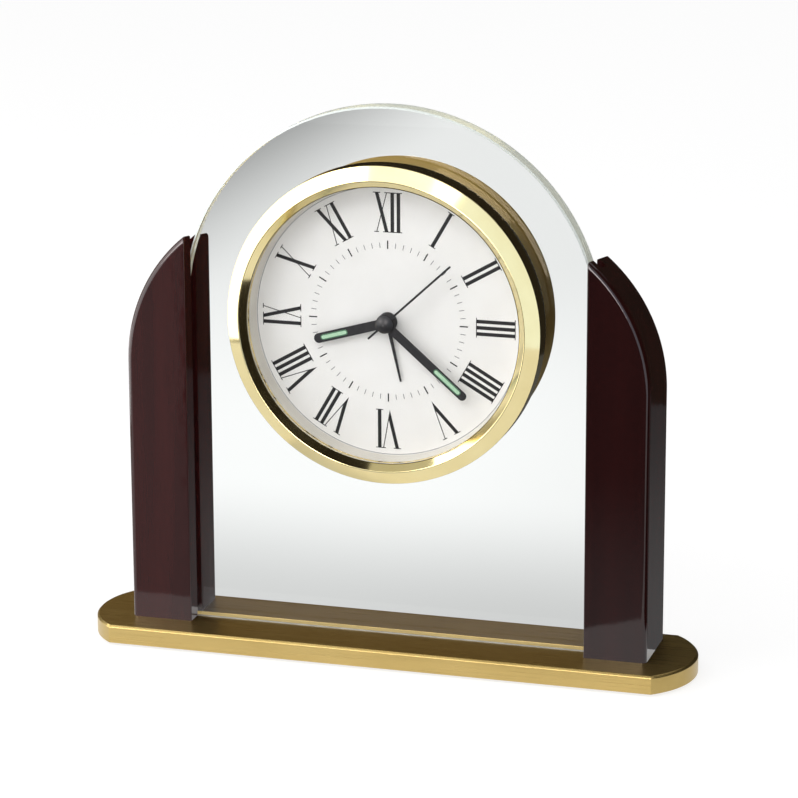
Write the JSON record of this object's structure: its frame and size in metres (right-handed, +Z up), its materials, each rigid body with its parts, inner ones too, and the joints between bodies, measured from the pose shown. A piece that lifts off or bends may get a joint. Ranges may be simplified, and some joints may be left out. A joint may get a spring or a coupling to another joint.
{
  "type": "table alarm clock",
  "caption": "Table alarm clock: a round quartz insert in a round topped glass panel, held by grooved wood columns on a brass base with bowed ends.",
  "frame": {"origin": "centre of the base's resting face", "axes": "+Z up, +X to the right of someone who reads the dial, +Y from the dial towards the back"},
  "size_m": [0.178, 0.0389, 0.1589],
  "materials": {
    "satin_brass": "satin lacquered brass",
    "polished_brass": "polished gold plate",
    "felt": "dark felt",
    "lacquered_wood": "dark mahogany, high gloss lacquer",
    "screw_steel": "zinc plated steel",
    "clear_glass": "clear polished glass",
    "lens_glass": "clear mineral glass",
    "ring_beige": "satin beige",
    "dial_white": "matt white enamel",
    "insert_rubber": "translucent soft rubber",
    "black_plastic": "fine textured black",
    "switch_plastic": "light grey",
    "hand_black": "satin black enamel",
    "lume_green": "pale green lume",
    "white_nylon": "moulded acetal",
    "arbor_steel": "polished steel",
    "pipe_brass": "turned brass",
    "copper_wire": "enamelled copper",
    "board_green": "green solder mask",
    "battery_wrap": "printed sleeve",
    "contact_steel": "nickel plated spring steel"
  },
  "bodies": {
    "stand_and_case": {"base_plate": "satin_brass", "base_pad": "felt", "left_column": "lacquered_wood", "right_column": "lacquered_wood", "column_screws": "screw_steel", "glass_panel": "clear_glass", "bezel": "polished_brass", "lens": "lens_glass", "dial_ring": "ring_beige", "dial": "dial_white", "drum_case": "satin_brass", "insert_ring": "insert_rubber", "rear_cover": "black_plastic", "cover_screws": "screw_steel", "movement_case": "black_plastic", "movement_bridge": "white_nylon", "stator": "arbor_steel", "coil_bobbin": "white_nylon", "coil_winding": "copper_wire", "circuit_board": "board_green", "buzzer": "black_plastic", "battery": "battery_wrap", "battery_contacts": "contact_steel"},
    "second_hand_body": {"second_hand": "hand_black", "second_arbor": "arbor_steel"},
    "step_wheel_body": {"step_wheel": "white_nylon"},
    "rotor_body": {"rotor": "arbor_steel"},
    "third_wheel_body": {"third_wheel": "white_nylon"},
    "centre_wheel_body": {"centre_wheel": "white_nylon"},
    "minute_hand_body": {"minute_hand": "hand_black", "minute_lume": "lume_green", "minute_pipe": "pipe_brass"},
    "motion_wheel_body": {"motion_wheel": "white_nylon"},
    "hour_hand_body": {"hour_hand": "hand_black", "hour_lume": "lume_green", "hour_wheel": "white_nylon"},
    "time_knob_body": {"time_set_knob": "black_plastic", "time_set_pinion": "white_nylon"},
    "alarm_hand_body": {"alarm_hand": "hand_black", "alarm_wheel": "white_nylon"},
    "alarm_knob_body": {"alarm_set_knob": "black_plastic", "alarm_set_pinion": "white_nylon"},
    "alarm_switch_body": {"alarm_switch": "switch_plastic"},
    "battery_door_body": {"battery_door": "black_plastic"}
  },
  "joints": [
    {"name": "second_hand_spin", "type": "hinge", "parent": "stand_and_case", "child": "second_hand_body", "pos_m": [0, 0, 0.0981], "axis": [0, 1, 0], "continuous": true},
    {"name": "step_wheel_spin", "type": "hinge", "parent": "stand_and_case", "child": "step_wheel_body", "pos_m": [-0.0057, 0, 0.10797], "axis": [0, 1, 0], "continuous": true},
    {"name": "rotor_spin", "type": "hinge", "parent": "stand_and_case", "child": "rotor_body", "pos_m": [-0.00785, 0, 0.11389], "axis": [0, 1, 0], "continuous": true},
    {"name": "third_wheel_spin", "type": "hinge", "parent": "stand_and_case", "child": "third_wheel_body", "pos_m": [0.0058, 0, 0.10815], "axis": [0, 1, 0], "continuous": true},
    {"name": "centre_wheel_spin", "type": "hinge", "parent": "stand_and_case", "child": "centre_wheel_body", "pos_m": [0, 0, 0.0981], "axis": [0, 1, 0], "continuous": true},
    {"name": "minute_hand_spin", "type": "hinge", "parent": "stand_and_case", "child": "minute_hand_body", "pos_m": [0, 0, 0.0981], "axis": [0, 1, 0], "continuous": true},
    {"name": "motion_wheel_spin", "type": "hinge", "parent": "stand_and_case", "child": "motion_wheel_body", "pos_m": [0.012, 0, 0.0981], "axis": [0, 1, 0], "continuous": true},
    {"name": "hour_hand_spin", "type": "hinge", "parent": "stand_and_case", "child": "hour_hand_body", "pos_m": [0, 0, 0.0981], "axis": [0, 1, 0], "continuous": true},
    {"name": "time_knob_spin", "type": "hinge", "parent": "stand_and_case", "child": "time_knob_body", "pos_m": [0.02049, 0, 0.10659], "axis": [0, 1, 0], "continuous": true},
    {"name": "alarm_hand_spin", "type": "hinge", "parent": "stand_and_case", "child": "alarm_hand_body", "pos_m": [0, 0, 0.0981], "axis": [0, 1, 0], "continuous": true},
    {"name": "alarm_knob_spin", "type": "hinge", "parent": "stand_and_case", "child": "alarm_knob_body", "pos_m": [-0.01344, 0, 0.0981], "axis": [0, 1, 0], "continuous": true},
    {"name": "alarm_switch_slide", "type": "slide", "parent": "stand_and_case", "child": "alarm_switch_body", "axis": [1, 0, 0], "range_m": [0, 0.004]},
    {"name": "battery_door_lift", "type": "slide", "parent": "stand_and_case", "child": "battery_door_body", "axis": [0, 1, 0], "range_m": [0, 0.03]}
  ],
  "couplings": [
    {"joint": "step_wheel_spin", "follows": "second_hand_spin", "ratio": -5},
    {"joint": "rotor_spin", "follows": "second_hand_spin", "ratio": 30},
    {"joint": "third_wheel_spin", "follows": "second_hand_spin", "ratio": -0.13333},
    {"joint": "centre_wheel_spin", "follows": "second_hand_spin", "ratio": 0.016667},
    {"joint": "motion_wheel_spin", "follows": "minute_hand_spin", "ratio": -0.33333},
    {"joint": "hour_hand_spin", "follows": "minute_hand_spin", "ratio": 0.083333},
    {"joint": "time_knob_spin", "follows": "minute_hand_spin", "ratio": 1},
    {"joint": "alarm_knob_spin", "follows": "alarm_hand_spin", "ratio": -3}
  ]
}
